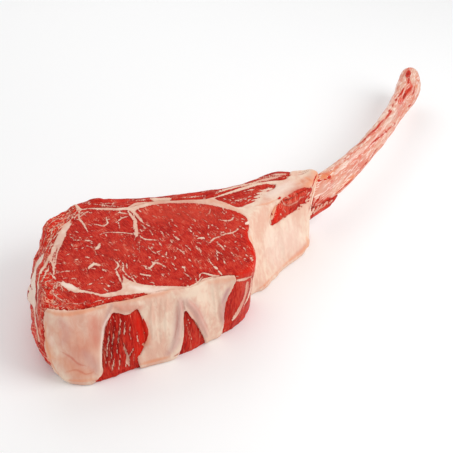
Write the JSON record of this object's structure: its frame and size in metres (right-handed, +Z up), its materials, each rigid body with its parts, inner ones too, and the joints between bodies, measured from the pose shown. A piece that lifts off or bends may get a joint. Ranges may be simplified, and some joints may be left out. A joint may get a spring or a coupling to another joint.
{
  "type": "raw tomahawk steak",
  "caption": "Thick raw rib steak lying flat on its cut face, with its long curved rib bone cleaned as a handle.",
  "frame": {"origin": "on the flat lower cut face, under the middle of the eye muscle", "axes": "+Z up through the steak's thickness, +X along the rib bone towards its free end, +Y towards the inner side that the rib runs along"},
  "size_m": [0.4379, 0.1431, 0.056],
  "materials": {
    "lean": "moist raw lean beef with fine white marbling",
    "fat": "smooth creamy raw beef fat with a pink cast",
    "bone": "scraped raw bone, pinkish white with red streaks"
  },
  "bodies": {
    "root": {"eye_muscle": "lean", "cap_muscle": "lean", "outer_lean": "lean", "rib_finger": "lean", "rib_lean_upper": "lean", "rib_lean_lower": "lean", "front_lean": "lean", "tail_lean": "lean", "shank_meat": "lean", "seam_fat": "fat", "fat_cap": "fat", "rib_bone": "bone"}
  },
  "joints": []
}
